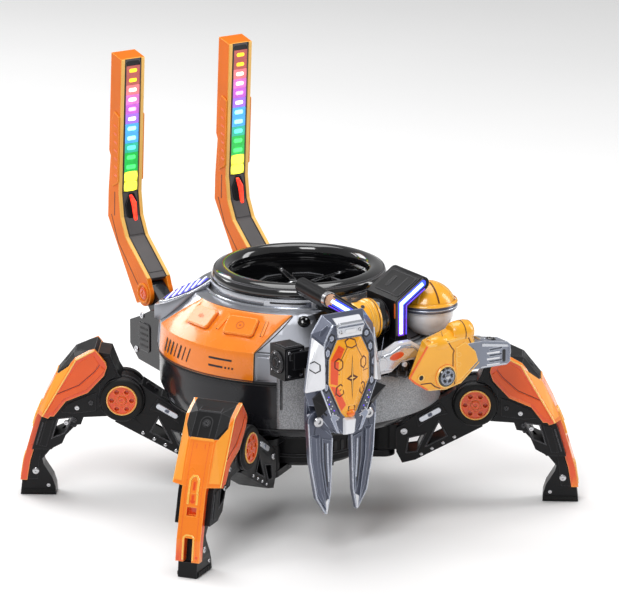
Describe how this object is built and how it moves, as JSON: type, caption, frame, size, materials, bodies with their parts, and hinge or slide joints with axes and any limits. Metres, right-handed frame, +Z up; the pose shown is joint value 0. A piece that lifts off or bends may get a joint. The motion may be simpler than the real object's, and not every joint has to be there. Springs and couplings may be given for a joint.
{
  "type": "hexapod spider robot",
  "caption": "Walking spider robot with a round speaker body, jointed armoured legs, folding light antennas, a bladed shield arm and a cannon arm.",
  "frame": {"origin": "middle of the footprint's bounding box, on the floor", "axes": "+X across the robot towards the cannon arm's side, -Y the way the head faces, +Z up"},
  "size_m": [0.2838, 0.2605, 0.252],
  "materials": {
    "silver_satin": "satin",
    "graphite": "satin",
    "black_plastic": "matte",
    "black_gloss": "gloss",
    "orange_plastic": "satin",
    "amber_plastic": "satin",
    "golden_plastic": "satin",
    "white_plastic": "gloss",
    "slate_plastic": "satin",
    "muzzle_grey": "satin",
    "tyre_rubber": "matte",
    "pin_steel": "satin",
    "light_panel": "gloss",
    "blue_light": "gloss",
    "board_green": "satin",
    "battery_wrap": "satin"
  },
  "bodies": {
    "body": {"lower_shell": "graphite", "chassis_hub": "black_plastic", "hinge_pins": "pin_steel", "top_cover": "silver_satin", "control_panel": "orange_plastic", "rim_ring": "black_gloss", "inner_collar": "silver_satin", "web_frame": "black_gloss", "side_vents": "silver_satin", "speaker_driver": "black_plastic", "battery_pack": "battery_wrap", "main_board": "board_green", "cover_screws": "black_gloss", "rear_pod": "graphite", "light_brackets": "black_plastic", "light_strips": "blue_light", "head_frame": "black_plastic", "head_drum": "golden_plastic", "shoulder_dome": "white_plastic", "shoulder_hood": "golden_plastic", "front_apron": "silver_satin"},
    "play_button": {"play_button": "orange_plastic"},
    "mode_button": {"mode_button": "orange_plastic"},
    "antenna_left": {"antenna_left_shell": "orange_plastic", "antenna_left_lights": "light_panel"},
    "antenna_right": {"antenna_right_shell": "orange_plastic", "antenna_right_lights": "light_panel"},
    "shield": {"shield_frame": "slate_plastic", "shield_face": "amber_plastic", "shield_trim": "white_plastic"},
    "blade_left": {"left_blade": "slate_plastic"},
    "blade_right": {"right_blade": "slate_plastic"},
    "cannon_arm": {"arm_link": "white_plastic"},
    "cannon": {"cannon_casing": "golden_plastic", "cannon_muzzle": "muzzle_grey", "cannon_dial": "muzzle_grey"},
    "front_left_thigh": {"front_left_thigh": "black_plastic"},
    "front_left_shin": {"front_left_knee_tyre": "tyre_rubber", "front_left_knee_hub": "orange_plastic", "front_left_shin": "black_plastic", "front_left_armour": "orange_plastic", "front_left_knee_cap": "graphite"},
    "front_right_thigh": {"front_right_thigh": "black_plastic"},
    "front_right_shin": {"front_right_knee_tyre": "tyre_rubber", "front_right_knee_hub": "orange_plastic", "front_right_shin": "black_plastic", "front_right_armour": "orange_plastic", "front_right_knee_cap": "graphite"},
    "rear_left_thigh": {"rear_left_thigh": "black_plastic"},
    "rear_left_shin": {"rear_left_knee_tyre": "tyre_rubber", "rear_left_knee_hub": "orange_plastic", "rear_left_shin": "black_plastic", "rear_left_armour": "orange_plastic", "rear_left_knee_cap": "graphite"},
    "rear_right_thigh": {"rear_right_thigh": "black_plastic"},
    "rear_right_shin": {"rear_right_knee_tyre": "tyre_rubber", "rear_right_knee_hub": "orange_plastic", "rear_right_shin": "black_plastic", "rear_right_armour": "orange_plastic", "rear_right_knee_cap": "graphite"}
  },
  "joints": [
    {"name": "play_press", "type": "slide", "parent": "body", "child": "play_button", "axis": [0.5939, 0.3292, -0.7341], "range_m": [0, 0.0008], "stiffness_N_per_m": 900, "springref_m": -0.0006},
    {"name": "mode_press", "type": "slide", "parent": "body", "child": "mode_button", "axis": [0.6769, 0.0533, -0.7341], "range_m": [0, 0.0008], "stiffness_N_per_m": 900, "springref_m": -0.0006},
    {"name": "antenna_left_fold", "type": "hinge", "parent": "body", "child": "antenna_left", "pos_m": [-0.0383, 0.0895, 0.1085], "axis": [-1, 0, 0], "range_deg": [-8, 45]},
    {"name": "antenna_right_fold", "type": "hinge", "parent": "body", "child": "antenna_right", "pos_m": [0.0383, 0.0895, 0.1085], "axis": [-1, 0, 0], "range_deg": [-8, 45]},
    {"name": "shield_swing", "type": "hinge", "parent": "body", "child": "shield", "pos_m": [-0.037, -0.111, 0.118], "axis": [-1, 0, 0], "range_deg": [0, 30]},
    {"name": "blade_left_open", "type": "hinge", "parent": "shield", "child": "blade_left", "pos_m": [-0.0565, -0.12025, 0.084], "axis": [0, 1, 0], "range_deg": [-5, 20]},
    {"name": "blade_right_open", "type": "hinge", "parent": "shield", "child": "blade_right", "pos_m": [-0.022, -0.12025, 0.084], "axis": [0, 1, 0], "range_deg": [-20, 5]},
    {"name": "cannon_arm_lift", "type": "hinge", "parent": "body", "child": "cannon_arm", "pos_m": [-0.003, -0.105, 0.106], "axis": [0, -1, 0], "range_deg": [-2, 10]},
    {"name": "cannon_aim", "type": "hinge", "parent": "cannon_arm", "child": "cannon", "pos_m": [0.0352, -0.113, 0.0954], "axis": [0, -1, 0], "range_deg": [-3, 25]},
    {"name": "front_left_hip_swing", "type": "hinge", "parent": "body", "child": "front_left_thigh", "pos_m": [-0.04096, -0.04268, 0.039], "axis": [0, 0, 1], "range_deg": [-14, 8]},
    {"name": "front_left_knee_lift", "type": "hinge", "parent": "front_left_thigh", "child": "front_left_shin", "pos_m": [-0.08667, -0.07468, 0.062], "axis": [-0.5736, 0.8192, 0], "range_deg": [-12, 25]},
    {"name": "front_right_hip_swing", "type": "hinge", "parent": "body", "child": "front_right_thigh", "pos_m": [0.04096, -0.04268, 0.039], "axis": [0, 0, 1], "range_deg": [-8, 14]},
    {"name": "front_right_knee_lift", "type": "hinge", "parent": "front_right_thigh", "child": "front_right_shin", "pos_m": [0.08667, -0.07468, 0.062], "axis": [-0.5736, -0.8192, 0], "range_deg": [-12, 25]},
    {"name": "rear_left_hip_swing", "type": "hinge", "parent": "body", "child": "rear_left_thigh", "pos_m": [-0.04096, 0.01468, 0.039], "axis": [0, 0, 1], "range_deg": [-10, 14]},
    {"name": "rear_left_knee_lift", "type": "hinge", "parent": "rear_left_thigh", "child": "rear_left_shin", "pos_m": [-0.08667, 0.04668, 0.062], "axis": [0.5736, 0.8192, 0], "range_deg": [-12, 25]},
    {"name": "rear_right_hip_swing", "type": "hinge", "parent": "body", "child": "rear_right_thigh", "pos_m": [0.04096, 0.01468, 0.039], "axis": [0, 0, 1], "range_deg": [-14, 10]},
    {"name": "rear_right_knee_lift", "type": "hinge", "parent": "rear_right_thigh", "child": "rear_right_shin", "pos_m": [0.08667, 0.04668, 0.062], "axis": [0.5736, -0.8192, 0], "range_deg": [-12, 25]}
  ],
  "couplings": [
    {"joint": "blade_right_open", "follows": "blade_left_open", "ratio": -1}
  ]
}
